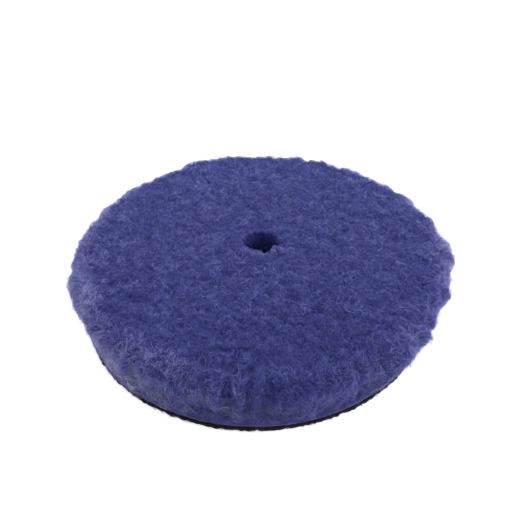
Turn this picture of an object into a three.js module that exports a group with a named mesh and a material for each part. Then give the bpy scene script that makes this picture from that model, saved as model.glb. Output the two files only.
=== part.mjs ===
// Round wool-blend polishing pad with a hook-and-loop backing, lying on its backing with the
// working face up. Millimetres, +Z up. The origin is the centre of the backing's lower face, so
// +Z runs along the pad's axis, from the backing plate's side to the working face.
//
// The pad is a bonded laminate. From the floor up it is loop nap, loop cloth, adhesive film,
// latex back coat, knitted ground cloth, foam around the pile's roots, and the pile itself.
// The pile stands on the foam and also hangs as a skirt round the layers under it.

import * as THREE from "three";

// Driving dimensions.
const FACE_DIAMETER = 133; // 5.25 in, the widest part of the pile
const BACKING_DIAMETER = 125; // the loop fabric, for a 5 in backing plate
const CORE_DIAMETER = 122; // the plies that the pile hides
const HOLE_DIAMETER = 12.7; // 1/2 in, for a centring finger and for air
const OVERALL_HEIGHT = 25;

// Thickness of each layer, from the floor up. What is left of the height is pile.
const NAP = 1.0;
const LOOP_CLOTH = 0.6;
const ADHESIVE = 0.3;
const LATEX = 0.5;
const GROUND_CLOTH = 0.8;
const ROOT_FOAM = 4.8;

// Shape of the pile.
const SKIRT_GAP = 0.3; // air between the skirt and the edges of the plies inside it
const SKIRT_FOOT_INSET = 0.1; // the loop fabric's edge shows by this much below the pile
const BULGE_HEIGHT = 18; // where the side wall is widest
const FLAT_RADIUS = 60; // edge of the flat working face
const MOUTH_ROUNDING = 1.6; // the pile rolls over into the centre hole by this much
const CROWN_STEPS = 4;
const MOUTH_STEPS = 3;

const ROUND_SEGMENTS = 64;

const holeRadius = HOLE_DIAMETER / 2;
const backingRadius = BACKING_DIAMETER / 2;
const coreRadius = CORE_DIAMETER / 2;
const faceRadius = FACE_DIAMETER / 2;

const WOOL_BLUE = 0x3e4180;
const FOAM_BLUE = 0x56589a;
const KNIT_BLUE_GREY = 0x4a4c78;
const LATEX_CREAM = 0xb9b3a0;
const ADHESIVE_AMBER = 0x8c8468;
const LOOP_BLACK = 0x17171c;

// A named mesh with its own material, for one ply of the pad.
function ply(name, geometry, color, roughness) {
  const material = new THREE.MeshStandardMaterial({ color, roughness, metalness: 0 });
  const mesh = new THREE.Mesh(geometry, material);
  mesh.name = name;
  return mesh;
}

// Turns a closed outline of (radius, height) points, listed anticlockwise, about the Z axis.
function turned(outline) {
  const closed = [...outline, outline[0]];
  const geometry = new THREE.LatheGeometry(closed, ROUND_SEGMENTS);
  return geometry.rotateX(Math.PI / 2);
}

// A flat washer of the given outer radius, between two heights, with the centre hole through it.
function washer(radius, low, high) {
  return turned([
    new THREE.Vector2(holeRadius, low),
    new THREE.Vector2(radius, low),
    new THREE.Vector2(radius, high),
    new THREE.Vector2(holeRadius, high),
  ]);
}

// Points along a quarter of an ellipse, from its first to its last angle, ends included.
function ellipseArc(centreRadius, centreHeight, wide, tall, fromAngle, toAngle, steps) {
  const points = [];
  for (let i = 0; i <= steps; i += 1) {
    const angle = fromAngle + ((toAngle - fromAngle) * i) / steps;
    const radius = centreRadius + wide * Math.cos(angle);
    points.push(new THREE.Vector2(radius, centreHeight + tall * Math.sin(angle)));
  }
  return points;
}

// The pile: a skirt, a side wall that leans outwards, a rounded rim, and a flat working face
// with a rounded mouth at the centre hole.
function pileOutline(skirtFoot, pileBase) {
  const skirtRadius = coreRadius + SKIRT_GAP;
  const footRadius = backingRadius - SKIRT_FOOT_INSET;
  const rimHeight = OVERALL_HEIGHT - BULGE_HEIGHT;
  const rimWidth = faceRadius - FLAT_RADIUS;
  const mouthCentre = holeRadius + MOUTH_ROUNDING;
  const mouthHeight = OVERALL_HEIGHT - MOUTH_ROUNDING;
  return [
    new THREE.Vector2(holeRadius, pileBase),
    new THREE.Vector2(skirtRadius, pileBase),
    new THREE.Vector2(skirtRadius, skirtFoot),
    new THREE.Vector2(footRadius, skirtFoot),
    ...ellipseArc(FLAT_RADIUS, BULGE_HEIGHT, rimWidth, rimHeight, 0, Math.PI / 2, CROWN_STEPS),
    ...ellipseArc(
      mouthCentre,
      mouthHeight,
      MOUTH_ROUNDING,
      MOUTH_ROUNDING,
      Math.PI / 2,
      Math.PI,
      MOUTH_STEPS,
    ),
  ];
}

// Heights of the faces between the plies.
const napTop = NAP;
const loopClothTop = napTop + LOOP_CLOTH;
const adhesiveTop = loopClothTop + ADHESIVE;
const latexTop = adhesiveTop + LATEX;
const groundTop = latexTop + GROUND_CLOTH;
const foamTop = groundTop + ROOT_FOAM;

const loopNap = washer(backingRadius, 0, napTop);
const loopCloth = washer(backingRadius, napTop, loopClothTop);
const adhesiveFilm = washer(coreRadius, loopClothTop, adhesiveTop);
const latexBackCoat = washer(coreRadius, adhesiveTop, latexTop);
const groundCloth = washer(coreRadius, latexTop, groundTop);
const rootFoam = washer(coreRadius, groundTop, foamTop);
const woolPile = turned(pileOutline(loopClothTop, foamTop));

const pad = new THREE.Group();
pad.add(ply("loop_nap", loopNap, LOOP_BLACK, 0.95));
pad.add(ply("loop_cloth", loopCloth, LOOP_BLACK, 0.9));
pad.add(ply("adhesive_film", adhesiveFilm, ADHESIVE_AMBER, 0.5));
pad.add(ply("latex_back_coat", latexBackCoat, LATEX_CREAM, 0.7));
pad.add(ply("knit_ground_cloth", groundCloth, KNIT_BLUE_GREY, 0.9));
pad.add(ply("root_foam", rootFoam, FOAM_BLUE, 0.85));
pad.add(ply("wool_pile", woolPile, WOOL_BLUE, 1.0));

export default pad;
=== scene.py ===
"""A round wool-blend polishing pad, built ply by ply and lock by lock.

The pad lies on its loop backing with the working face up. From the floor up it holds brushed
nylon loops, a warp-knitted loop cloth, a hot-melt film, a latex back coat, a knitted ground
cloth, root foam, and a dense curly pile that covers the face, the rim and the side wall.

The classes give lengths in millimetres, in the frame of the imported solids, except for the
studio's floor and lights, which are in metres. A length is turned to metres where a mesh or the
camera is made.
"""

from __future__ import annotations

import logging
import math
from dataclasses import dataclass, field
from enum import Enum
from typing import Callable

import bpy
import numpy as np
from mathutils import Matrix, Vector
from mathutils.kdtree import KDTree

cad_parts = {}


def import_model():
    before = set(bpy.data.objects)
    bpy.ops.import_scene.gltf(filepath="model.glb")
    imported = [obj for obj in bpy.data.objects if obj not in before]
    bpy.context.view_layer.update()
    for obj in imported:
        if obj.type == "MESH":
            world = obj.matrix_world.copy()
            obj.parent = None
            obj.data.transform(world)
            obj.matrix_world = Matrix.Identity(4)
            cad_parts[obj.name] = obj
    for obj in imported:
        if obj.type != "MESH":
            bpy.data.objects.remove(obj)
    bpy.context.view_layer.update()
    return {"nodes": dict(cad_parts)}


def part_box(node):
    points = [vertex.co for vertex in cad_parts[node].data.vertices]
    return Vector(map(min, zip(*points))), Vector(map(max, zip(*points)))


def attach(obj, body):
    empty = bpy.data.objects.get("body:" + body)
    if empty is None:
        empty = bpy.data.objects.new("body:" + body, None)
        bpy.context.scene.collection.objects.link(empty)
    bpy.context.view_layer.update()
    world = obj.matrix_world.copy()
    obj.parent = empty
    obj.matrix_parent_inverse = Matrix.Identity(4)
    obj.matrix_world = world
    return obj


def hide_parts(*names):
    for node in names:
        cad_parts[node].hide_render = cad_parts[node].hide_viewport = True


LOG = logging.getLogger("polishing_pad")
MM = 0.001
ROOT = "root"
FULL_TURN = 2 * math.pi
SIDES = 3  # a fibre is so thin that three sides read as round

Field = Callable[[np.ndarray], np.ndarray]  # gives one number for each point


# --- Colour and shader helpers -----------------------------------------------------------------


def linear(code: str) -> tuple[float, float, float, float]:
    """Turns an sRGB hex colour into the linear colour that a shader takes.

    Args:
        code: A colour such as "#3a3f86".

    Returns:
        Linear red, green and blue, and an alpha of 1.
    """
    channels = [int(code[i : i + 2], 16) / 255 for i in (1, 3, 5)]
    curved = [c / 12.92 if c <= 0.04045 else ((c + 0.055) / 1.055) ** 2.4 for c in channels]
    return (*curved, 1.0)


def per_metre(pitch_mm: float) -> float:
    """Gives the texture scale, in repeats a metre, of a pattern with this pitch."""
    return 1 / (pitch_mm * MM)


def add_node(
    tree: bpy.types.NodeTree,
    kind: str,
    settings: dict | None = None,
    links: dict | None = None,
    stops: tuple[tuple[float, str], ...] = (),
    **properties: object,
) -> bpy.types.Node:
    """Adds one node with its settings and its links.

    Args:
        tree: The node tree to add to.
        kind: The node's type name.
        settings: Input name or number to its value.
        links: Input name or number to the (node, output) that feeds it.
        stops: For a colour ramp, its (position, hex colour) stops in order.
        properties: The node's own properties, such as operation.

    Returns:
        The new node.
    """
    node = tree.nodes.new(kind)
    for name, value in properties.items():
        setattr(node, name, value)
    for key, value in (settings or {}).items():
        node.inputs[key].default_value = value
    for key, (source, output) in (links or {}).items():
        tree.links.new(source.outputs[output], node.inputs[key])
    for i, (position, code) in enumerate(stops):
        ramp = node.color_ramp.elements
        stop = ramp[i] if i < 2 else ramp.new(position)
        stop.position = position
        stop.color = linear(code)
    return node


def new_tree(name: str) -> tuple[bpy.types.Material, bpy.types.NodeTree]:
    """Makes an empty node material.

    Args:
        name: The material's name.

    Returns:
        The material and its cleared node tree.
    """
    material = bpy.data.materials.new(name)
    material.use_nodes = True
    material.node_tree.nodes.clear()
    return material, material.node_tree


def plain_material(name: str, settings: dict) -> bpy.types.Material:
    """Makes a material that is the same all over.

    Args:
        name: The material's name.
        settings: Inputs of its shader.

    Returns:
        The material.
    """
    material, tree = new_tree(name)
    shader = add_node(tree, "ShaderNodeBsdfPrincipled", settings)
    add_node(tree, "ShaderNodeOutputMaterial", links={"Surface": (shader, "BSDF")})
    return material


def finish_by_grain(
    tree: bpy.types.NodeTree,
    grain: bpy.types.Node,
    stops: tuple[tuple[float, str], ...],
    bump: tuple[float, float],
    settings: dict,
) -> None:
    """Colours and embosses a surface by one grain, and ends its node tree.

    Args:
        tree: The material's node tree.
        grain: The node whose first output is the grain.
        stops: The (position, hex colour) stops that the grain runs through.
        bump: The bump's strength, and its depth in millimetres.
        settings: The shader's other inputs.
    """
    strength, depth = bump
    colour = add_node(tree, "ShaderNodeValToRGB", links={"Fac": (grain, 0)}, stops=stops)
    relief = add_node(
        tree,
        "ShaderNodeBump",
        {"Strength": strength, "Distance": depth * MM},
        {"Height": (grain, 0)},
    )
    shader = add_node(
        tree,
        "ShaderNodeBsdfPrincipled",
        settings,
        {"Base Color": (colour, "Color"), "Normal": (relief, "Normal")},
    )
    add_node(tree, "ShaderNodeOutputMaterial", links={"Surface": (shader, "BSDF")})


# --- Finishes ----------------------------------------------------------------------------------


class WoolTone(Enum):
    """Dye depths of a wool blend: six for the face, deepest first, and three greyer ones."""

    SHADOW = "#19205c"
    DEEP = "#222b7a"
    MID = "#30388b"
    LIGHT = "#474f9e"
    PALE = "#6b6faf"
    FROST = "#9091c3"
    SLATE = "#33386e"
    MIST = "#656695"
    ASH = "#9695ba"


FACE_BLEND = tuple(WoolTone)[:6]
# The side wall's fibres are greyer than those of the face.
WALL_BLEND = tuple(WoolTone[name] for name in "SHADOW DEEP SLATE LIGHT MIST ASH".split())


@dataclass(frozen=True)
class DyedWoolFibre:
    """Dyed wool fibre: crimped and scaly, so it scatters light with a soft sheen and no gloss."""

    tone: WoolTone
    roughness: float = 0.75  # wool's scales give a broad, dull highlight
    sheen: float = 0.12  # fine surface fibrils catch light at a grazing angle
    index: float = 1.55  # keratin

    def material(self) -> bpy.types.Material:
        """Builds the material in one even colour, because a fibre is dyed right through."""
        settings = {
            "Base Color": linear(self.tone.value),
            "Roughness": self.roughness,
            "IOR": self.index,
            "Sheen Weight": self.sheen,
            "Sheen Roughness": 0.5,
            "Sheen Tint": linear(WoolTone.PALE.value),
        }
        return plain_material(f"dyed_wool_{self.tone.name.lower()}", settings)


@dataclass(frozen=True)
class MattedWool:
    """Wool matted together under the surface locks: dark between them, lighter on their crests."""

    lock_pitch: float = 2.4  # width of one curly lock
    strand_pitch: float = 0.5  # a strand of some ten fibres, coarser than one fibre so it shows
    strand_share: float = 0.4
    crest_height: float = 0.35
    hollow: str = "#171c55"  # the shade between the locks, where little light gets in

    def material(self) -> bpy.types.Material:
        """Mixes lock noise and strand noise into one grain for the colour and the bump.

        Returns:
            The material, dull and mottled.
        """
        material, tree = new_tree("matted_wool")
        place = add_node(tree, "ShaderNodeTexCoord")
        locks, strands = (
            add_node(
                tree,
                "ShaderNodeTexNoise",
                {"Scale": per_metre(pitch), "Detail": detail, "Distortion": distortion},
                {"Vector": (place, "Object")},
            )
            for pitch, detail, distortion in (
                (self.lock_pitch, 3.0, 0.8),
                (self.strand_pitch, 2.0, 2.0),
            )
        )
        both = add_node(
            tree,
            "ShaderNodeMix",
            {"Factor": self.strand_share},
            {"A": (locks, "Fac"), "B": (strands, "Fac")},
            data_type="FLOAT",
        )
        stops = ((0.3, self.hollow), (0.62, WoolTone.DEEP.value), (0.8, WoolTone.MID.value))
        settings = {"Roughness": 0.9, "IOR": 1.55, "Sheen Weight": 0.1, "Sheen Roughness": 0.6}
        finish_by_grain(tree, both, stops, (0.8, self.crest_height), settings)
        return material


@dataclass(frozen=True)
class SpeckledFinish:
    """A finish of one base material whose colour and bump follow a cell or grain of one size."""

    name: str
    dark: str
    light: str
    pitch: float
    depth: float
    roughness: float
    index: float
    sheen: float = 0.0
    gloss: float = 0.5  # shine that is left once the surface's own hollows have trapped some
    cells: bool = False

    def material(self) -> bpy.types.Material:
        """Builds the speckle from cells for foam, or from grain for film, latex and cloth.

        Returns:
            The material.
        """
        material, tree = new_tree(self.name)
        place = add_node(tree, "ShaderNodeTexCoord")
        kind = "ShaderNodeTexVoronoi" if self.cells else "ShaderNodeTexNoise"
        scale = {"Scale": per_metre(self.pitch)}
        grain = add_node(tree, kind, scale, {"Vector": (place, "Object")})
        settings = {
            "Roughness": self.roughness,
            "IOR": self.index,
            "Specular IOR Level": self.gloss,
            "Sheen Weight": self.sheen,
        }
        stops = ((0.25, self.dark), (0.75, self.light))
        finish_by_grain(tree, grain, stops, (0.6, self.depth), settings)
        return material


# Black nylon yarn, knitted: a dead black, because light is lost between the stitches.
LOOP_KNIT = SpeckledFinish(
    "warp_knit_nylon", "#060609", "#101016",
    pitch=0.6, depth=0.1, roughness=0.85, index=1.53, sheen=0.02, gloss=0.1,
)
# Black nylon loops, brushed open: a soft black with a trace of bloom at the edge.
LOOP_NAP = SpeckledFinish(
    "brushed_nylon", "#060609", "#15151b",
    pitch=0.9, depth=0.2, roughness=0.9, index=1.53, sheen=0.03, gloss=0.1,
)
# Hot-melt adhesive, pressed flat: a dull tan with a satin shine.
HOT_MELT = SpeckledFinish(
    "hot_melt_film", "#7d7455", "#a59b78", pitch=4.0, depth=0.02, roughness=0.35, index=1.49
)
# Latex, spread and cured: cream, rubbery and dull.
CURED_LATEX = SpeckledFinish(
    "cured_latex", "#a49d86", "#c9c2ac", pitch=2.0, depth=0.05, roughness=0.6, index=1.52
)
# Polyester knit that has taken some of the pile's dye: grey-blue and matt.
GROUND_KNIT = SpeckledFinish(
    "knitted_polyester", "#34365c", "#565a8c",
    pitch=0.6, depth=0.1, roughness=0.85, index=1.54, sheen=0.2,
)
# Open-cell polyurethane foam: dull blue, with painted shade darkening the pit of each cell.
OPEN_CELLS = SpeckledFinish(
    "root_foam_cells", "#3a3c74", "#6165a6",
    pitch=0.7, depth=0.2, roughness=0.9, index=1.45, sheen=0.1, cells=True,
)


# --- Geometry helpers --------------------------------------------------------------------------


class WaveField:
    """A smooth random field over space, made of plane waves and the same on every run."""

    WAVES = 28

    def __init__(self, seed: int, wavelength: float) -> None:
        """Draws the waves.

        Args:
            seed: Seed of the random draws.
            wavelength: Typical distance between two crests, in millimetres.
        """
        rng = np.random.default_rng(seed)
        headings = rng.normal(size=(self.WAVES, 3))
        headings /= np.linalg.norm(headings, axis=1, keepdims=True)
        lengths = wavelength * rng.uniform(0.7, 1.4, (self.WAVES, 1))
        self.waves = headings * FULL_TURN / lengths
        self.phases = rng.uniform(0, FULL_TURN, self.WAVES)

    def __call__(self, points: np.ndarray) -> np.ndarray:
        """Adds up the waves.

        Args:
            points: Points in millimetres.

        Returns:
            The field's value at each point, with a spread of about 1 about 0.
        """
        total = np.zeros(len(points))
        for wave, phase in zip(self.waves, self.phases):
            total += np.sin(points @ wave + phase)
        return total * math.sqrt(2 / self.WAVES)


def layered(layers: tuple[tuple[int, float, float], ...]) -> Field:
    """Adds wave fields, each a seed, a wavelength and a height, into one height for a point."""
    fields = [(height, WaveField(seed, wavelength)) for seed, wavelength, height in layers]
    return lambda points: sum(height * waves(points) for height, waves in fields)


def unit(vectors: np.ndarray) -> np.ndarray:
    """Scales each vector along the last axis to length 1."""
    return vectors / np.maximum(np.linalg.norm(vectors, axis=-1, keepdims=True), 1e-9)


def ease(value: np.ndarray, start: float, end: float) -> np.ndarray:
    """Rises smoothly from 0 at start to 1 at end."""
    t = np.clip((value - start) / (end - start), 0, 1)
    return t * t * (3 - 2 * t)


def radial(turn: np.ndarray) -> np.ndarray:
    """Gives the level unit vectors that point away from the axis at these angles."""
    return np.stack([np.cos(turn), np.sin(turn), np.zeros_like(turn)], 1)


def mesh_piece(
    name: str,
    points: np.ndarray,
    faces: list[np.ndarray],
    materials: list[bpy.types.Material],
    slots: np.ndarray | None = None,
) -> bpy.types.Object:
    """Makes a smooth-shaded mesh object from arrays.

    Args:
        name: The piece's name.
        points: Vertices, in millimetres.
        faces: Arrays of vertex numbers, one array for each number of corners.
        materials: The mesh's materials.
        slots: Each face's material number, or None for the first.

    Returns:
        The new object, linked to the scene.
    """
    mesh = bpy.data.meshes.new(name)
    mesh.vertices.add(len(points))
    mesh.vertices.foreach_set("co", (points * MM).astype(np.float32).ravel())
    corners = np.concatenate([f.ravel() for f in faces]).astype(np.int32)
    sizes = np.concatenate([np.full(len(f), f.shape[1]) for f in faces])
    starts = np.concatenate([[0], np.cumsum(sizes)[:-1]]).astype(np.int32)
    mesh.loops.add(len(corners))
    mesh.loops.foreach_set("vertex_index", corners)
    mesh.polygons.add(len(sizes))
    mesh.polygons.foreach_set("loop_start", starts)
    mesh.polygons.foreach_set("use_smooth", np.ones(len(sizes), bool))
    if slots is not None:
        mesh.polygons.foreach_set("material_index", slots.astype(np.int32))
    for material in materials:
        mesh.materials.append(material)
    mesh.update(calc_edges=True)
    mesh.validate()
    piece = bpy.data.objects.new(name, mesh)
    bpy.context.scene.collection.objects.link(piece)
    return piece


def wrapped_quads(rings: int, around: int) -> np.ndarray:
    """Numbers the quads of a grid that closes both ways, so that they face outwards.

    Args:
        rings: Points along the closed outline.
        around: Steps about the axis.

    Returns:
        Four vertex numbers for each quad.
    """
    numbers = np.arange(rings * around).reshape(rings, around)
    ahead = np.roll(numbers, -1, 0)
    quads = [numbers, np.roll(numbers, -1, 1), np.roll(ahead, -1, 1), ahead]
    return np.stack(quads, -1).reshape(-1, 4)


def strand_tubes(
    lines: np.ndarray, radii: np.ndarray, rng: np.random.Generator, pointed: bool = False
) -> tuple[np.ndarray, np.ndarray, np.ndarray]:
    """Wraps a closed tube round each line.

    Args:
        lines: Points along each strand, as (strand, level, axis), in millimetres.
        radii: Radius at each level of each strand.
        rng: Source of the sections' random turn.
        pointed: True if the last level is a single point.

    Returns:
        The vertices, the side quads and the end triangles.
    """
    count, levels = lines.shape[:2]
    along = unit(np.gradient(lines, axis=1))
    helper = unit(rng.normal(size=(count, 1, 3)))
    side = unit(np.cross(along, helper))
    up = np.cross(along, side)
    angles = np.arange(SIDES) * FULL_TURN / SIDES
    ring = lines[:, :, None] + radii[:, :, None, None] * (
        side[:, :, None] * np.cos(angles)[:, None] + up[:, :, None] * np.sin(angles)[:, None]
    )
    rings = levels - 1 if pointed else levels
    body = ring[:, :rings].reshape(count, -1, 3)
    points = np.concatenate([body, lines[:, -1:]], 1) if pointed else body
    first = (np.arange(count) * points.shape[1])[:, None, None]
    grid = np.arange(rings * SIDES).reshape(rings, SIDES)[None] + first
    below, above = grid[:, :-1], grid[:, 1:]
    quads = np.stack([below, np.roll(below, -1, 2), np.roll(above, -1, 2), above], -1)
    base = grid[:, 0, ::-1]
    ends = grid[:, -1]
    if pointed:
        tip = np.repeat(first[:, 0] + rings * SIDES, SIDES, 1)
        ends = np.stack([ends, np.roll(ends, -1, 1), tip], -1).reshape(-1, SIDES)
    return points.reshape(-1, 3), quads.reshape(-1, 4), np.concatenate([base, ends])


# --- Sizes -------------------------------------------------------------------------------------


@dataclass(frozen=True)
class PadSizes:
    """The pad's main sizes in millimetres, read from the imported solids."""

    hole_radius: float
    core_radius: float
    backing_radius: float
    face_radius: float
    nap_top: float
    loop_top: float
    film_top: float
    latex_top: float
    ground_top: float
    foam_top: float
    top: float

    @classmethod
    def from_frame(cls, nodes: dict[str, bpy.types.Object]) -> PadSizes:
        """Reads the sizes from the boxes of the plies.

        Args:
            nodes: The frame's nodes by name.

        Returns:
            The pad's sizes.
        """
        reach = [math.hypot(v.co.x, v.co.y) for v in nodes["loop_nap"].data.vertices]
        return cls(
            hole_radius=min(reach) / MM,
            core_radius=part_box("root_foam")[1][0] / MM,
            backing_radius=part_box("loop_nap")[1][0] / MM,
            face_radius=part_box("wool_pile")[1][0] / MM,
            nap_top=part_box("loop_nap")[1][2] / MM,
            loop_top=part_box("loop_cloth")[1][2] / MM,
            film_top=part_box("adhesive_film")[1][2] / MM,
            latex_top=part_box("latex_back_coat")[1][2] / MM,
            ground_top=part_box("knit_ground_cloth")[1][2] / MM,
            foam_top=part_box("root_foam")[1][2] / MM,
            top=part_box("wool_pile")[1][2] / MM,
        )

    def round_cut(self, radius: float) -> tuple[tuple[float, float], float]:
        """Gives a round's flat size in metres, and its area less the hole in square metres."""
        width = 2 * radius * MM
        return (width, width), math.pi * (radius**2 - self.hole_radius**2) * MM * MM


# --- The plies under the pile ------------------------------------------------------------------


@dataclass
class Washer:
    """One flat ply with the centre hole through it, whose faces carry a fine relief."""

    inner: float
    outer: float
    low: float
    high: float
    relief: Field
    rings: int = 60
    around: int = 220
    edge_wander: float = 0.0  # how far the cut edge strays out from a true circle

    EDGE_BAND = 0.97  # the straying starts at this share of the radius
    EDGE_SEED = 31
    EDGE_PITCH = 1.9  # distance between two stray bundles along the edge

    def outline(self) -> tuple[np.ndarray, np.ndarray]:
        """Lists the closed cross-section, anticlockwise from its lower inner corner.

        Returns:
            Radii and heights of the outline's points.
        """
        across = np.linspace(self.inner, self.outer, self.rings)
        radii = np.concatenate([across, across[::-1]])
        heights = np.repeat([self.low, self.high], self.rings)
        return radii, heights

    def build(self, name: str, finish: SpeckledFinish) -> bpy.types.Object:
        """Turns the outline about the axis and presses the relief into both faces.

        Args:
            name: The piece's name.
            finish: The ply's finish.

        Returns:
            The ply.
        """
        radii, heights = self.outline()
        turn = np.arange(self.around) * FULL_TURN / self.around
        edge = WaveField(self.EDGE_SEED, self.EDGE_PITCH)(radial(turn) * self.outer)
        share = ease(radii, self.outer * self.EDGE_BAND, self.outer)[:, None]
        reach = radii[:, None] + share * self.edge_wander * (1 + edge[None])
        flat = np.stack([reach * np.cos(turn), reach * np.sin(turn)], -1)
        z = np.broadcast_to(heights[:, None], reach.shape)
        points = np.concatenate([flat, z[..., None]], -1).reshape(-1, 3)
        inward = np.where(points[:, 2] > (self.low + self.high) / 2, -1.0, 1.0)
        points[:, 2] += inward * np.abs(self.relief(points))
        quads = wrapped_quads(len(radii), self.around)
        return mesh_piece(name, points, [quads], [finish.material()])


def knitted(pitch: float, depth: float) -> Field:
    """Makes a knit's relief from its pitch and depth: wales one way and courses the other."""
    rate = math.pi / pitch
    return lambda points: depth * np.abs(np.sin(points[:, 0] * rate) * np.sin(points[:, 1] * rate))


def rippled(seed: int, wavelength: float, depth: float) -> Field:
    """Makes the relief of a poured, cast or melted layer from its ripples' size and depth."""
    ripples = WaveField(seed, wavelength)
    return lambda points: depth * np.clip(np.abs(ripples(points)), 0, 1.5)


@dataclass
class LoopBacking:
    """The loop fabric that a hook-faced backing plate grips: knitted cloth with brushed loops."""

    sizes: PadSizes
    loop_count: int = 5200
    loop_radius: tuple[float, float] = (0.28, 0.5)
    loop_stretch: float = 1.25  # a loop hangs longer than a half circle by this factor
    yarn_radius: float = 0.055  # nylon filament, drawn three times its real thickness
    yarn_levels: int = 7
    margins: tuple[float, float] = (0.5, 0.3)  # the spread roots keep this far from hole and edge
    fringe_share: float = 0.25  # share of the loops that are gathered along the cut edge
    fringe: tuple[float, float] = (0.1, 0.6)  # how far in from the edge those are rooted
    fringe_lean: float = 0.9  # how far those lean outwards
    lean: float = 0.5  # spread of the loops' own leaning
    mat_foot: float = 0.35  # the matted part starts at this share of the nap's height
    root_height: float = 0.55  # the loops hang from this share of it
    cloth: bpy.types.Object | None = field(default=None, init=False)
    loops: bpy.types.Object | None = field(default=None, init=False)
    mat: bpy.types.Object | None = field(default=None, init=False)

    def build(self) -> list[bpy.types.Object]:
        """Builds the cloth, the matted nap under it and the loose loops.

        Returns:
            The three pieces.
        """
        s = self.sizes
        mesh = {"rings": 30, "around": 560}  # fine enough for the stray bundles of the edge
        knit = knitted(pitch=1.2, depth=0.08)
        cloth = Washer(
            s.hole_radius, s.backing_radius, s.nap_top, s.loop_top, knit, edge_wander=0.14, **mesh
        )
        low = s.nap_top * self.mat_foot
        tangle = rippled(seed=12, wavelength=1.8, depth=0.12)
        mat = Washer(
            s.hole_radius, s.backing_radius, low, s.nap_top, tangle, edge_wander=0.17, **mesh
        )
        self.cloth = cloth.build("loop_cloth_knit", LOOP_KNIT)
        self.mat = mat.build("loop_nap_mat", LOOP_NAP)
        self.loops = self.build_loops()
        return [self.cloth, self.mat, self.loops]

    def build_loops(self) -> bpy.types.Object:
        """Bends each loop as an arch that hangs from the mat and leans its own way.

        Returns:
            All the loops as one piece.
        """
        s = self.sizes
        rng = np.random.default_rng(41)
        n = self.loop_count
        inner, outer = s.hole_radius + self.margins[0], s.backing_radius - self.margins[1]
        reach = np.sqrt(rng.uniform(inner**2, outer**2, n))
        turn = rng.uniform(0, FULL_TURN, n)
        fringe = rng.random(n) < self.fringe_share
        reach = np.where(fringe, s.backing_radius - rng.uniform(*self.fringe, n), reach)
        out = radial(turn)
        roots = out * reach[:, None]
        roots[:, 2] = s.nap_top * self.root_height
        radius = rng.uniform(*self.loop_radius, n)
        across = radial(rng.uniform(0, FULL_TURN, n))
        sideways = across[:, [1, 0, 2]] * np.array([-1, 1, 0])
        lean = sideways * rng.normal(0, self.lean, (n, 1))
        lean += np.where(fringe, self.fringe_lean, 0.0)[:, None] * out
        down = unit(np.array([0, 0, -1.0]) + lean)
        t = np.linspace(0, math.pi, self.yarn_levels)
        lines = roots[:, None] + radius[:, None, None] * (
            across[:, None] * np.cos(t)[None, :, None]
            + down[:, None] * (self.loop_stretch * np.sin(t))[None, :, None]
        )
        clear = self.yarn_radius + 0.01  # the lowest loops lie flat on what the pad stands on
        lines[..., 2] = np.maximum(lines[..., 2], clear)
        width = np.full((n, len(t)), self.yarn_radius)
        points, quads, tips = strand_tubes(lines, width, rng)
        # Drawn nylon: round and smooth, so a loop shows a faint line of light.
        settings = {
            "Base Color": linear(LOOP_NAP.light),
            "Roughness": 0.45,
            "IOR": LOOP_NAP.index,
            "Specular IOR Level": 0.25,
        }
        yarn = plain_material("nylon_filament", settings)
        return mesh_piece("nylon_loops", points, [quads, tips], [yarn])

    def dress(self) -> None:
        """Ties the fabric to the pad's body and hides the solids that it stands for."""
        for piece, slot in (
            (self.cloth, "loop_cloth"),
            (self.mat, "loop_nap"),
            (self.loops, "loop_nap"),
        ):
            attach(piece, ROOT)
        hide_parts("loop_cloth")
        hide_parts("loop_nap")
        flat, area = self.sizes.round_cut(self.sizes.backing_radius)


@dataclass
class BondedCore:
    """The plies between the loop fabric and the pile: film, latex, ground cloth and root foam."""

    sizes: PadSizes
    pieces: dict[str, bpy.types.Object] = field(default_factory=dict, init=False)

    SLOTS = {
        "adhesive_film": "adhesive_film",
        "latex_back_coat": "latex",
        "knit_ground_cloth": "ground_cloth",
        "root_foam": "root_foam",
    }

    def build(self) -> list[bpy.types.Object]:
        """Builds the four plies from the bottom up.

        Returns:
            The plies.
        """
        s = self.sizes
        melt = rippled(seed=3, wavelength=6, depth=0.02)
        spread = rippled(seed=4, wavelength=3, depth=0.03)
        knit = knitted(pitch=1.2, depth=0.1)
        cells = rippled(seed=5, wavelength=1.4, depth=0.12)
        plan = (
            ("adhesive_film", "hot_melt_film", s.film_top, melt, HOT_MELT),
            ("latex_back_coat", "latex_coat", s.latex_top, spread, CURED_LATEX),
            ("knit_ground_cloth", "ground_knit", s.ground_top, knit, GROUND_KNIT),
            ("root_foam", "foam_core", s.foam_top, cells, OPEN_CELLS),
        )
        low = s.loop_top
        for node, name, high, relief, finish in plan:
            ply = Washer(s.hole_radius, s.core_radius, low, high, relief)
            self.pieces[node] = ply.build(name, finish)
            low = high
        return list(self.pieces.values())

    def dress(self) -> None:
        for node, piece in self.pieces.items():
            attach(piece, ROOT)
            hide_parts(node)
        flat, area = self.sizes.round_cut(self.sizes.core_radius)


# --- The pile's surface ------------------------------------------------------------------------


class Edge(Enum):
    """The places along the pile's profile where one stretch of it meets the next."""

    HOLE = "lower end of the lining of the centre hole"
    MOUTH = "where the lining rolls over"
    FACE = "inner edge of the working face"
    RIM = "where the face starts to round off"
    WALL = "top of the side wall"
    FOOT = "where the wall meets the loop cloth"
    HEM = "end of the stray fibres over the cloth's edge"


@dataclass(frozen=True)
class Tuft:
    """One raised, sunken or odd-coloured spot of the pile, in degrees and millimetres."""

    turn: float
    radius: float
    height: float
    spread: float
    lift: float = 0.0
    pale: float = 0.0  # shift of its locks towards the pale end of the tones, partly dye and partly painted light and shade


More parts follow.
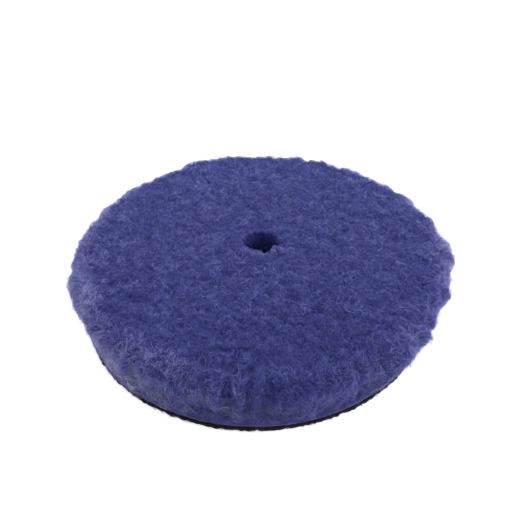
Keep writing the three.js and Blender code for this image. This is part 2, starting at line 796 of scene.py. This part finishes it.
class PileSkin:
    """The outer surface of the pile, from inside the centre hole out over the rim to the foot."""

    LEAN = 2.2  # the face sits this far to one side of the backing
    MOUTH = 1.6  # the pile rolls over into the hole by this much
    FLAT_SHARE = 0.91  # the flat face ends at this share of the face radius
    BULGE = 19.0  # height at which the side wall is widest
    WAIST = (63.2, 9.0)  # radius and height where the wall starts to flare
    FOOT_INSET = 0.1  # the wall ends this far inside and above the loop cloth's edge
    HEM = (0.2, 0.7)  # stray fibres hang this far out and down over that edge
    STEP = 0.25  # spacing of the points that the curve is drawn from
    MAT_DEPTH = 1.15  # the locks fill this depth above the matted mass
    MAT_FOOT = 0.3  # and this depth at the foot
    MAT_FADE = 4.0  # the depth changes over this length of the wall
    PALEST = 1.9  # where pale tufts overlap, their shift stops here

    # Unevenness, each as rows of (seed, wavelength, height).
    RELIEF = ((51, 30.0, 0.25), (52, 7.0, 0.2), (53, 2.9, 0.16))  # out of the surface
    WANDER = ((54, 46.0, 0.25), (55, 11.0, 0.45), (57, 4.2, 0.5))  # of the rim, outwards
    DROP = ((56, 34.0, 0.3),)  # of the rim, downwards
    LOFT = 0.5  # the brushed rim stands out past the solid's outline by this much
    CALM = 0.2  # share of the relief that is left at the foot

    # Where each effect grows from nothing to full: ranges of radius and of height.
    WANDERING = ((46.0, 64.0), (1.5, 12.0))
    DROPPING = ((40.0, 62.0), (8.0, 20.0))
    ROUGHENING = (2.0, 9.0)  # height alone

    # Each row starts with its turn, radius, height and spread.
    TUFTS = (
        # The rim at the back and on the right: an uneven outline with frosted patches, partly pale
        # tips and partly painted light where light shines through the fibres at the silhouette.
        Tuft(102, 65, 22, 6, lift=1.3),
        Tuft(119, 66, 21, 3, lift=1.2, pale=1.5),
        Tuft(81, 65, 22, 4, lift=-1.2),
        Tuft(48, 67, 19, 9, pale=1.8),
        Tuft(31, 66, 20, 4, lift=1.0, pale=1.4),
        Tuft(18, 67, 19, 8, lift=-0.4, pale=1.4),
        Tuft(357, 66.5, 19, 7, lift=1.8, pale=2.8),
        Tuft(342, 66, 19, 6, pale=1.6),
        # The rim on the left, frosted nearly all along, partly pale tips and partly painted light
        # where light shines through the fibres at the silhouette.
        Tuft(145, 66, 21, 8, pale=1.9),
        Tuft(158, 66, 21, 8, pale=2.1),
        Tuft(172, 67, 19, 9, pale=1.8),
        Tuft(187, 56, 25, 9, pale=0.7),
        Tuft(191, 68, 17, 7, lift=1.2, pale=1.9),
        Tuft(203, 66, 16, 9, pale=2.6),
        Tuft(207, 62, 24.5, 6, lift=0.5, pale=2.0),
        Tuft(207, 66, 20, 3, lift=1.3, pale=1.2),
        Tuft(214, 65, 15, 12, lift=-1.3, pale=1.0),
        # The front rim, with painted shade that darkens the front of the face away from the key
        # light, and the mottled wall under it.
        Tuft(216, 65, 11, 8, pale=1.8),
        Tuft(222, 58, 24, 8, pale=-1.2),
        Tuft(231, 65, 11, 13, pale=1.6),
        Tuft(248, 64, 12, 12, pale=0.2),
        Tuft(277, 60, 22, 22, pale=-1.3),
        Tuft(311, 57, 24, 9, pale=-0.9),
        Tuft(264, 63, 5, 12, pale=0.9),
        Tuft(302, 64, 9, 10, pale=-0.6),
        Tuft(317, 66, 12, 10, pale=1.5),
        Tuft(328, 66, 17, 13, lift=-2.2),
        # The foot, where tufts hide part of the loop cloth's edge.
        Tuft(208, 62.6, 4, 9, lift=0.8),
        Tuft(224, 62.6, 3, 10, lift=1.0),
        Tuft(322, 62.6, 3, 9, lift=1.0),
        # The mouth of the centre hole, which locks close in on unevenly.
        Tuft(318, 6.8, 23.6, 2.2, lift=2.0, pale=1.6),
        Tuft(222, 6.8, 23.6, 2.2, lift=1.3),
        Tuft(265, 6.8, 23.6, 2.6, lift=1.6),
        Tuft(98, 8.4, 24.4, 3.0, lift=-0.9),
        Tuft(130, 7.6, 24.2, 2.2, lift=-1.1),
        Tuft(68, 6.8, 24, 1.5, lift=0.9, pale=1.2),
        Tuft(38, 7.6, 24.2, 2.0, lift=-0.8),
    )

    def __init__(self, sizes: PadSizes) -> None:
        """Draws the profile, measures along it and makes the fields of unevenness.

        Args:
            sizes: The pad's sizes.
        """
        self.sizes = sizes
        parts = self.profile_parts()
        line = np.concatenate(parts)
        steps = np.linalg.norm(np.diff(line, axis=0), axis=1)
        self.line = line[np.concatenate([[True], steps > 1e-6])]  # the parts share their ends
        steps = np.linalg.norm(np.diff(self.line, axis=0), axis=1)
        self.run = np.concatenate([[0], np.cumsum(steps)])
        self.ahead = unit(np.gradient(self.line, self.run, axis=0))
        lengths = [np.linalg.norm(np.diff(p, axis=0), axis=1).sum() for p in parts]
        self.edges = dict(zip(Edge, [0.0, *np.cumsum(lengths)]))
        self.relief = layered(self.RELIEF)
        self.wander = layered(self.WANDER)
        self.drop = layered(self.DROP)

    def profile_parts(self) -> list[np.ndarray]:
        """Lists the profile's stretches: hole wall, mouth, face, rim, side wall and hem.

        Returns:
            The (radius, height) points of each stretch.
        """
        s = self.sizes
        mouth_r = s.hole_radius + self.MOUTH
        mouth_z = s.top - self.MOUTH
        flat = s.face_radius * self.FLAT_SHARE
        quarter = np.linspace(0, math.pi / 2, 24)
        sin, cos = np.sin(quarter), np.cos(quarter)
        hole = np.linspace((s.hole_radius, s.foam_top), (s.hole_radius, mouth_z), 40)
        mouth = np.stack([mouth_r - self.MOUTH * cos, mouth_z + self.MOUTH * sin], 1)
        face = np.linspace((mouth_r, s.top), (flat, s.top), int((flat - mouth_r) / self.STEP))
        rim_r = flat + (s.face_radius - flat) * sin
        rim = np.stack([rim_r, self.BULGE + (s.top - self.BULGE) * cos], 1)
        foot = (s.backing_radius - self.FOOT_INSET, s.loop_top + self.FOOT_INSET)
        flare = np.linspace((s.face_radius, self.BULGE), self.WAIST, 40)
        wall = np.concatenate([flare, np.linspace(self.WAIST, foot, 20)[1:]])
        end = (s.backing_radius + self.HEM[0], s.loop_top - self.HEM[1])
        return [hole, mouth, face, rim, wall, np.linspace(foot, end, 8)]

    def mat_depth(self, run: np.ndarray) -> np.ndarray:
        """Gives the depth of the matted mass under the skin, which thins out at the foot."""
        growth = ease(self.edges[Edge.FOOT] - run, 0.0, self.MAT_FADE)
        return self.MAT_FOOT + (self.MAT_DEPTH - self.MAT_FOOT) * growth

    def tuft_shares(self, points: np.ndarray) -> np.ndarray:
        """Finds how far each point lies within each tuft.

        Args:
            points: Points in millimetres.

        Returns:
            Shares from 0 to 1, as (point, tuft).
        """
        middles = radial(np.radians([t.turn for t in self.TUFTS]))
        middles *= np.array([t.radius for t in self.TUFTS])[:, None]
        middles[:, 2] = [t.height for t in self.TUFTS]
        spread = np.array([t.spread for t in self.TUFTS])
        gaps = np.linalg.norm(points[:, None] - middles[None], axis=2) / spread
        return np.exp(-gaps * gaps)

    def tuft_pale(self, points: np.ndarray) -> np.ndarray:
        """Gives how much paler the tufts make each point."""
        pale = self.tuft_shares(points) @ np.array([t.pale for t in self.TUFTS])
        return np.minimum(pale, self.PALEST)

    def at(
        self, run: np.ndarray, turn: np.ndarray, sink: np.ndarray | float = 0.0
    ) -> np.ndarray:
        """Finds points on or under the skin.

        Args:
            run: Distance along the profile from inside the hole.
            turn: Angle about the axis, in radians.
            sink: Depth under the skin.

        Returns:
            The points.
        """
        radius = np.interp(run, self.run, self.line[:, 0])
        height = np.interp(run, self.run, self.line[:, 1])
        step_r = np.interp(run, self.run, self.ahead[:, 0])
        step_z = np.interp(run, self.run, self.ahead[:, 1])
        away = radial(turn)
        out = -step_z[:, None] * away
        out[:, 2] = step_r
        smooth = radius[:, None] * away
        smooth[:, 2] = height
        ring = away * self.sizes.face_radius
        calm = self.CALM + (1 - self.CALM) * ease(height, *self.ROUGHENING)
        lift = self.tuft_shares(smooth) @ np.array([t.lift for t in self.TUFTS])
        points = smooth + unit(out) * (calm * self.relief(smooth) + lift - sink)[:, None]
        spread = self.zone(radius, height, self.WANDERING) * (self.LOFT + self.wander(ring))
        points += away * spread[:, None]
        points[:, 2] -= np.abs(self.zone(radius, height, self.DROPPING) * self.drop(ring))
        points[:, 0] += self.LEAN * height / self.sizes.top
        return points

    @staticmethod
    def zone(
        radius: np.ndarray, height: np.ndarray, ranges: tuple[tuple[float, float], ...]
    ) -> np.ndarray:
        """Rises from 0 to 1 through a range of radius and a range of height."""
        return ease(radius, *ranges[0]) * ease(height, *ranges[1])

    def scatter(
        self, count: int, start: Edge, end: Edge, rng: np.random.Generator
    ) -> np.ndarray:
        """Spreads places evenly over a band of the skin.

        Args:
            count: How many places.
            start: Where the band starts along the profile.
            end: Where it ends.
            rng: Source of the random draws.

        Returns:
            The places, as (distance along the profile, angle about the axis).
        """
        grid = np.linspace(self.edges[start], self.edges[end], 400)
        weight = np.interp(grid, self.run, self.line[:, 0])
        share = np.concatenate([[0], np.cumsum((weight[1:] + weight[:-1]) / 2)])
        run = np.interp(rng.random(count) * share[-1], share, grid)
        return np.stack([run, rng.uniform(0, FULL_TURN, count)], 1)

    def band_area(self, start: Edge, end: Edge) -> float:
        """Measures a band of the skin.

        Args:
            start: Where the band starts along the profile.
            end: Where it ends.

        Returns:
            Its area in square millimetres.
        """
        grid = np.linspace(self.edges[start], self.edges[end], 100)
        radius = np.interp(grid, self.run, self.line[:, 0])
        return float(radius.mean() * FULL_TURN * (grid[-1] - grid[0]))


@dataclass
class WoolBody:
    """The matted mass of the pile, which the surface locks stand on."""

    sizes: PadSizes
    skin: PileSkin
    around: int = 460
    core_gap: float = 0.25  # air round the plies inside the skirt
    roof_gap: float = 0.05  # air over the foam
    lining: float = 1.2  # thickness of the pile round the centre hole
    roof_rings: int = 30

    BANDS = (
        (Edge.HOLE, Edge.FACE, 14),
        (Edge.FACE, Edge.RIM, 84),
        (Edge.RIM, Edge.WALL, 16),
        (Edge.WALL, Edge.FOOT, 26),
    )

    def build(self) -> bpy.types.Object:
        """Builds the closed body: the sunk skin, the foot, and the hollow that holds the core.

        Returns:
            The body.
        """
        skin = self.skin
        run = np.concatenate(
            [
                np.linspace(skin.edges[start], skin.edges[end], rings, endpoint=end is Edge.FOOT)
                for start, end, rings in self.BANDS
            ]
        )
        turn = np.arange(self.around) * FULL_TURN / self.around
        run_grid, turn_grid = (g.ravel() for g in np.meshgrid(run, turn, indexing="ij"))
        outer = skin.at(run_grid, turn_grid, skin.mat_depth(run_grid))
        hollow = self.hollow(turn)
        points = np.concatenate([outer, hollow])
        quads = wrapped_quads(len(points) // self.around, self.around)
        return mesh_piece("wool_body", points, [quads[:, ::-1]], [MattedWool().material()])

    def hollow(self, turn: np.ndarray) -> np.ndarray:
        """Lists the rings of the underside, from the foot up and in to the hole.

        Args:
            turn: The angles about the axis.

        Returns:
            The points, ring by ring.
        """
        s = self.sizes
        wall = s.core_radius + self.core_gap
        roof = s.foam_top + self.roof_gap
        across = np.linspace(wall, s.hole_radius + self.lining, self.roof_rings)
        radii = np.concatenate([[wall, wall], across])
        foot = [s.loop_top + self.skin.FOOT_INSET, (s.loop_top + roof) / 2]
        heights = np.concatenate([foot, [roof] * self.roof_rings])
        rings = radii[:, None, None] * radial(turn)[None]
        rings[..., 2] = heights[:, None]
        return rings.reshape(-1, 3)


# --- The pile's fibres -------------------------------------------------------------------------


class Lay(Enum):
    """Which way locks lie: base heading, pull of the swirls and spread, in radians.

    A heading of 0 runs along the profile, outwards over the rim and down the wall.
    """

    TANGLED = (0.0, 2.2, 1.3)
    COMBED = (0.0, 0.5, 0.35)
    INWARD = (math.pi, 0.0, 0.5)


@dataclass(frozen=True)
class FibreRegion:
    """How the fibres of one stretch of the skin grow, in millimetres."""

    name: str
    count: int
    start: Edge
    end: Edge
    lay: Lay
    length: tuple[float, float]
    rise: tuple[float, float]
    bend: tuple[float, float]  # turn of the heading along a fibre, in radians
    width: tuple[float, float]
    seed: int
    levels: int  # points along a fibre
    stray: float = 3.1  # spread of headings within one lock, in radians
    gather: float = 0.35  # share of the way that the tips close up on the lock's middle
    tone: float = 0.0  # shift towards the pale end of the tones; for the hole's locks it is painted shade and for the halo hairs painted light
    fleck: float = 0.7  # spread of dye depth between the fibres of one lock
    clump: float = 0.0  # share of the way that the roots close up on the lock's middle
    lock_area: float = 3.2  # skin that one lock covers, in square millimetres
    blend: tuple[WoolTone, ...] = FACE_BLEND
    parts: int = 1  # equal sectors, each a piece of its own


@dataclass
class WoolFibres:
    """The curly surface locks, fibre by fibre."""

    skin: PileSkin
    density: float  # share of the fibres that are grown

    SWIRL = (71, 13.0)  # seed and wavelength of the swirls that headings follow
    PATCH = (72, 8.0)  # and of the patches that dye depth follows
    LOCK_SPREAD = 0.495  # spread of dye depth from lock to lock
    PATCH_SPREAD = 0.33  # spread of dye depth from patch to patch
    FOOT_PAINTED_SHADE = 1.21  # painted shade: locks at the foot are made this much deeper in tone
    FOOT_SHADE_RANGE = (1.5, 3.5)  # heights over which that fades
    TONE_STEPS = (-0.75, 0.45, 1.45, 2.5)  # tone depths at which the next paler tone starts
    LIFT = (0.8, 1.15)  # a lock's own share of the region's rise
    TAPER = 0.55  # share of its width that a fibre loses towards its tip
    HANGING = 0.07  # share of the fibres reaching the foot that hang over the cloth's edge
    CLOSING = 1.5  # power by which the pull of the lock's middle grows along a fibre
    CREST = 0.8  # share of a fibre's length at which it stands highest
    WAVER = 0.15  # a fibre's height wavers by this share of its rise
    BURIED = 0.1  # roots start this far inside the matted mass

    def __post_init__(self) -> None:
        """Prepares the tones and the fields that the locks follow."""
        self.materials = {tone: DyedWoolFibre(tone).material() for tone in WoolTone}
        self.swirl = WaveField(*self.SWIRL)
        self.patches = WaveField(*self.PATCH)

    def build_region(self, region: FibreRegion) -> list[bpy.types.Object]:
        """Grows one region's fibres.

        Args:
            region: What to grow and where.

        Returns:
            The region's pieces.
        """
        rng = np.random.default_rng(region.seed)
        skin = self.skin
        count = int(region.count * self.density)
        roots = skin.scatter(count, region.start, region.end, rng)
        locks = int(skin.band_area(region.start, region.end) / region.lock_area)
        lock_roots = skin.scatter(locks, region.start, region.end, rng)
        middles = skin.at(*lock_roots.T)
        mine = self.nearest(skin.at(*roots.T), middles)
        roots += region.clump * self.gap(roots, lock_roots[mine])
        base, pull, spread = region.lay.value
        heading = base + pull * self.swirl(middles) + rng.normal(0, spread, locks)
        angle = heading[mine] + rng.normal(0, region.stray, count)
        bend = rng.uniform(*region.bend, count) * rng.choice([-1, 1], locks)[mine]
        lift = rng.uniform(*self.LIFT, locks)[mine]
        lines = self.lines(region, roots, lock_roots[mine], angle, bend, lift, rng)
        depth = self.dye_and_painted_light(middles, rng)[mine]
        depth += region.tone + rng.normal(0, region.fleck, count)
        tone = np.digitize(depth, self.TONE_STEPS)
        taper = 1 - self.TAPER * np.linspace(0, 1, region.levels)
        width = rng.uniform(*region.width, count)[:, None] * taper[None]
        return self.pieces(region, lines, width / 2, tone, roots[:, 1], rng)

    @staticmethod
    def nearest(points: np.ndarray, middles: np.ndarray) -> np.ndarray:
        """Finds the lock that each fibre belongs to.

        Args:
            points: The fibres' roots.
            middles: The locks' middles.

        Returns:
            The number of each root's nearest middle.
        """
        tree = KDTree(len(middles))
        for i, middle in enumerate(middles):
            tree.insert(middle, i)
        tree.balance()
        return np.array([tree.find(p)[1] for p in points], int)

    @staticmethod
    def gap(roots: np.ndarray, targets: np.ndarray) -> np.ndarray:
        """Measures (run, turn) from roots to targets, the short way about the axis."""
        gap = targets - roots
        gap[:, 1] = (gap[:, 1] + math.pi) % FULL_TURN - math.pi
        return gap

    def dye_and_painted_light(self, middles: np.ndarray, rng: np.random.Generator) -> np.ndarray:
        """Chooses each lock's tone depth from its own dye take-up, its patch, its tuft, and
        painted shade at the foot.

        Args:
            middles: The locks' middles.
            rng: Source of the random draws.

        Returns:
            Dye depths, the higher the paler.
        """
        depth = self.LOCK_SPREAD * rng.normal(0, 1, len(middles))
        depth += self.PATCH_SPREAD * self.patches(middles) + self.skin.tuft_pale(middles)
        # Painted shade: locks low down near the foot are made deeper in tone.
        return depth - self.FOOT_PAINTED_SHADE * (1 - ease(middles[:, 2], *self.FOOT_SHADE_RANGE))

    def lines(
        self,
        region: FibreRegion,
        roots: np.ndarray,
        middles: np.ndarray,
        angle: np.ndarray,
        bend: np.ndarray,
        lift: np.ndarray,
        rng: np.random.Generator,
    ) -> np.ndarray:
        """Draws each fibre on the skin: up out of the mat, then along in an arc.

        Args:
            region: The region's cut.
            roots: Each fibre's place on the skin, as (run, turn).
            middles: The same for the middle of its lock.
            angle: Heading at the root, from the profile's direction.
            bend: How far the heading turns along the fibre.
            lift: Each fibre's share of the region's rise.
            rng: Source of the random draws.

        Returns:
            Points as (fibre, level, axis).
        """
        n, levels = len(roots), region.levels
        skin = self.skin
        t = np.linspace(0, 1, levels)[None]
        length = rng.uniform(*region.length, n)
        crosses = length * np.cos(angle) > skin.edges[Edge.FOOT] - roots[:, 0]
        crosses &= rng.random(n) > self.HANGING
        angle = np.where(crosses, math.pi - angle, angle)  # most lie upward at the foot
        first, bend = angle[:, None], bend[:, None]
        ahead = length[:, None] * (np.sin(first + bend * t) - np.sin(first)) / bend
        aside = length[:, None] * (np.cos(first) - np.cos(first + bend * t)) / bend
        radius = np.interp(roots[:, 0], skin.run, skin.line[:, 0])[:, None]
        gap = self.gap(roots, middles)
        pull = region.gather * t**self.CLOSING
        run = roots[:, :1] + ahead + pull * gap[:, :1]
        turn = roots[:, 1:] + aside / radius + pull * gap[:, 1:]
        depth = skin.mat_depth(run)
        rise = (rng.uniform(*region.rise, n) * lift)[:, None] * depth / skin.MAT_DEPTH
        waver = self.WAVER * np.sin(FULL_TURN * (t + rng.random(n)[:, None])) * t
        climb = np.sin(np.minimum(t / self.CREST, 1.0) * math.pi / 2)
        sink = depth + self.BURIED - rise * (climb + waver)
        return skin.at(run.ravel(), turn.ravel(), sink.ravel()).reshape(n, levels, 3)

    def pieces(
        self,
        region: FibreRegion,
        lines: np.ndarray,
        radii: np.ndarray,
        tone: np.ndarray,
        turn: np.ndarray,
        rng: np.random.Generator,
    ) -> list[bpy.types.Object]:
        """Makes the region's meshes, one for each equal sector.

        Args:
            region: The region.
            lines: The fibres' lines.
            radii: Their radii.
            tone: Their tones at the root.
            turn: Their angles about the axis.
            rng: Source of the random draws.

        Returns:
            The meshes, each fibre one tone lighter over its outer half.
        """
        made = []
        sector = (turn / FULL_TURN * region.parts).astype(int)
        segments = region.levels - 2
        lighter = (np.arange(segments) >= segments // 2).astype(int)
        dyes = [self.materials[one] for one in region.blend]
        for part in range(region.parts):
            mine = sector == part
            points, quads, ends = strand_tubes(lines[mine], radii[mine], rng, pointed=True)
            own = tone[mine]
            side_tone = np.repeat((own[:, None] + lighter[None]).ravel(), SIDES)
            end_tone = np.concatenate([own, np.repeat(own + 1, SIDES)])
            slots = np.clip(np.concatenate([side_tone, end_tone]), 0, len(dyes) - 1)
            name = f"{region.name}_{part + 1}" if region.parts > 1 else region.name
            made.append(mesh_piece(name, points, [quads, ends], dyes, slots))
        return made


@dataclass
class WoolPile:
    """The whole pile: its matted body and its surface locks."""

    sizes: PadSizes
    body: bpy.types.Object | None = field(default=None, init=False)
    fibres: list[bpy.types.Object] = field(default_factory=list, init=False)

    QUICK_DENSITY = 0.35
    REGIONS = (
        FibreRegion(
            "face_fuzz", 44000, Edge.FACE, Edge.RIM, Lay.TANGLED,
            length=(0.9, 2.4), rise=(0.5, 1.3), bend=(1.0, 3.5), width=(0.1, 0.18),
            stray=1.6, levels=5, parts=6, seed=101,
        ),
        FibreRegion(
            "face_curls", 9000, Edge.FACE, Edge.RIM, Lay.TANGLED,
            length=(2.0, 4.2), rise=(1.0, 1.8), bend=(1.5, 4.0), width=(0.09, 0.15),
            stray=1.0, gather=0.2, tone=0.7, fleck=0.6, levels=7, parts=2, seed=102,
        ),
        FibreRegion(
            "rim_fuzz", 12000, Edge.RIM, Edge.WALL, Lay.TANGLED,
            length=(0.9, 2.4), rise=(0.6, 1.5), bend=(1.0, 3.5), width=(0.1, 0.18),
            stray=1.6, levels=5, parts=2, seed=103,
        ),
        FibreRegion(
            "rim_curls", 7500, Edge.RIM, Edge.WALL, Lay.COMBED,
            length=(2.0, 5.0), rise=(1.0, 1.8), bend=(0.8, 2.6), width=(0.06, 0.1),
            stray=0.5, gather=0.25, tone=0.8, fleck=0.5, levels=7, parts=2, seed=104,
        ),
        FibreRegion(
            "wall_fuzz", 21000, Edge.WALL, Edge.FOOT, Lay.COMBED,
            length=(1.4, 3.2), rise=(0.5, 1.3), bend=(0.3, 1.8), width=(0.1, 0.18),
            stray=0.7, blend=WALL_BLEND, levels=5, parts=3, seed=105,
        ),
        FibreRegion(
            "wall_locks", 13500, Edge.WALL, Edge.FOOT, Lay.COMBED,
            length=(3.0, 7.0), rise=(0.9, 1.6), bend=(0.3, 1.5), width=(0.06, 0.1),
            stray=0.3, tone=1.1, fleck=0.45, blend=WALL_BLEND, levels=8, parts=3, seed=106,
        ),
        FibreRegion(
            "wall_wisps", 3000, Edge.RIM, Edge.FOOT, Lay.COMBED,
            length=(5.0, 10.0), rise=(1.3, 1.9), bend=(0.2, 1.2), width=(0.08, 0.13),
            stray=0.2, gather=0.4, tone=1.6, fleck=0.35, clump=0.7, lock_area=45.0,
            blend=WALL_BLEND, levels=12, seed=109,
        ),
        # Painted light: the halo hairs' pale tone stands for light shining through fine hairs at
        # the silhouette.
        FibreRegion(
            "halo_hairs", 8500, Edge.RIM, Edge.WALL, Lay.TANGLED,
            length=(1.5, 4.4), rise=(1.6, 3.4), bend=(1.0, 4.0), width=(0.04, 0.07),
            gather=0.0, tone=2.1, levels=7, parts=2, seed=108,
        ),
        # Painted shade: tone=-0.3 makes the hole's locks a little deeper in tone than the face's.
        FibreRegion(
            "hole_locks", 2600, Edge.HOLE, Edge.FACE, Lay.INWARD,
            length=(1.2, 2.6), rise=(0.4, 1.2), bend=(0.2, 1.0), width=(0.12, 0.2),
            stray=0.5, tone=-0.3, levels=5, seed=107,
        ),
    )

    def build(self) -> list[bpy.types.Object]:
        """Builds the body and then each region's fibres.

        Returns:
            All the pile's pieces.
        """
        skin = PileSkin(self.sizes)
        self.body = WoolBody(self.sizes, skin).build()
        grower = WoolFibres(skin, 1.0)
        for region in self.REGIONS:
            self.fibres += grower.build_region(region)
        return [self.body, *self.fibres]

    def dress(self) -> None:
        """Ties the pile to the pad's body and hides the solid that it stands for."""
        for piece in (self.body, *self.fibres):
            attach(piece, ROOT)
        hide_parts("wool_pile")


# --- Studio ------------------------------------------------------------------------------------


@dataclass
class Studio:
    """A pale floor, a white room with three soft boxes, and the camera."""

    sizes: PadSizes
    floor_half: float = 8.0  # in metres
    room_glow: float = 0.8
    elevation: float = 36.8  # of the camera above the face, in degrees
    distance: float = 214.0  # from the camera to the middle of the face
    aim: tuple[float, float] = (1.4, -11.0)  # the point of the face that it looks at
    roll: float = -0.45  # in degrees
    focal_length: float = 41.4692308
    sensor: float = 36.0

    # Name, place in metres, side in metres and power in watts.
    SOFT_BOXES = (
        ("key", (-0.03, 0.25, 0.23), 0.25, 1.6),  # above and behind, so that it skims the pile
        ("left_strip", (-0.5, 0.05, 0.16), 0.3, 1.5),
        ("right_strip", (0.5, -0.12, 0.16), 0.3, 3.0),
    )

    def build(self) -> None:
        """Sets up the floor, the light and the camera."""
        self.build_floor()
        self.build_light()
        self.build_camera()

    def build_floor(self) -> None:
        """Lays a wide floor of lit opal acrylic at the height that the pad stands on."""
        half = self.floor_half
        mesh = bpy.data.meshes.new("floor")
        corners = [(-half, -half, 0), (half, -half, 0), (half, half, 0), (-half, half, 0)]
        mesh.from_pydata(corners, [], [(0, 1, 2, 3)])
        # Opal acrylic lit from below: it keeps the floor near white and its shadow faint.
        settings = {
            "Base Color": linear("#f7f7f8"),
            "Roughness": 0.9,
            "Specular IOR Level": 0.2,
            "Emission Color": linear("#ffffff"),
            "Emission Strength": 0.45,
        }
        mesh.materials.append(plain_material("lit_opal_acrylic", settings))
        floor = bpy.data.objects.new("floor", mesh)
        bpy.context.scene.collection.objects.link(floor)

    def build_light(self) -> None:
        """Fills the room with white light and hangs the soft boxes in it."""
        scene = bpy.context.scene
        scene.view_settings.view_transform = "Standard"
        world = bpy.data.worlds.new("white_room")
        scene.world = world
        world.use_nodes = True
        tree = world.node_tree
        tree.nodes.clear()
        settings = {"Color": linear("#ffffff"), "Strength": self.room_glow}
        glow = add_node(tree, "ShaderNodeBackground", settings)
        add_node(tree, "ShaderNodeOutputWorld", links={"Surface": (glow, 0)})
        for name, place, size, power in self.SOFT_BOXES:
            self.soft_box(name, place, size, power)

    @staticmethod
    def soft_box(
        name: str, place: tuple[float, float, float], size: float, power: float
    ) -> None:
        """Hangs a square soft light that faces the pad.

        Args:
            name: The light's name.
            place: Where it hangs, in metres.
            size: Length of its side, in metres.
            power: Its power, in watts.
        """
        light = bpy.data.lights.new(name, "AREA")
        light.size = size
        light.energy = power
        lamp = bpy.data.objects.new(name, light)
        lamp.location = place
        lamp.rotation_euler = (-Vector(place)).to_track_quat("-Z", "Y").to_euler()
        bpy.context.scene.collection.objects.link(lamp)

    def build_camera(self) -> None:
        """Places the camera by its elevation and distance from the middle of the face."""
        lens = bpy.data.cameras.new("camera")
        lens.sensor_width = self.sensor
        lens.lens = self.focal_length
        lens.clip_start = 0.01
        camera = bpy.data.objects.new("camera", lens)
        bpy.context.scene.collection.objects.link(camera)
        rise = math.radians(self.elevation)
        top = self.sizes.top
        away = Vector((0, -math.cos(rise), math.sin(rise)))
        place = (away * self.distance + Vector((0, 0, top))) * MM
        target = Vector((*self.aim, top)) * MM
        look = (target - place).to_track_quat("-Z", "Y").to_matrix().to_4x4()
        tilt = Matrix.Rotation(math.radians(self.roll), 4, "Z")
        camera.matrix_world = Matrix.Translation(place) @ look @ tilt
        bpy.context.scene.camera = camera


def report(pieces: list[bpy.types.Object]) -> None:
    """Logs each piece's name and number of faces."""
    for piece in pieces:
        LOG.info("%s: %d faces", piece.name, len(piece.data.polygons))


def main() -> None:
    """Loads the frame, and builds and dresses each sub-assembly."""
    logging.basicConfig(level=logging.INFO, format="%(name)s %(message)s")
    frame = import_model()
    sizes = PadSizes.from_frame(frame["nodes"])
    for part in (LoopBacking(sizes), BondedCore(sizes), WoolPile(sizes)):
        report(part.build())
        part.dress()
    Studio(sizes).build()


if __name__ == "__main__":
    main()
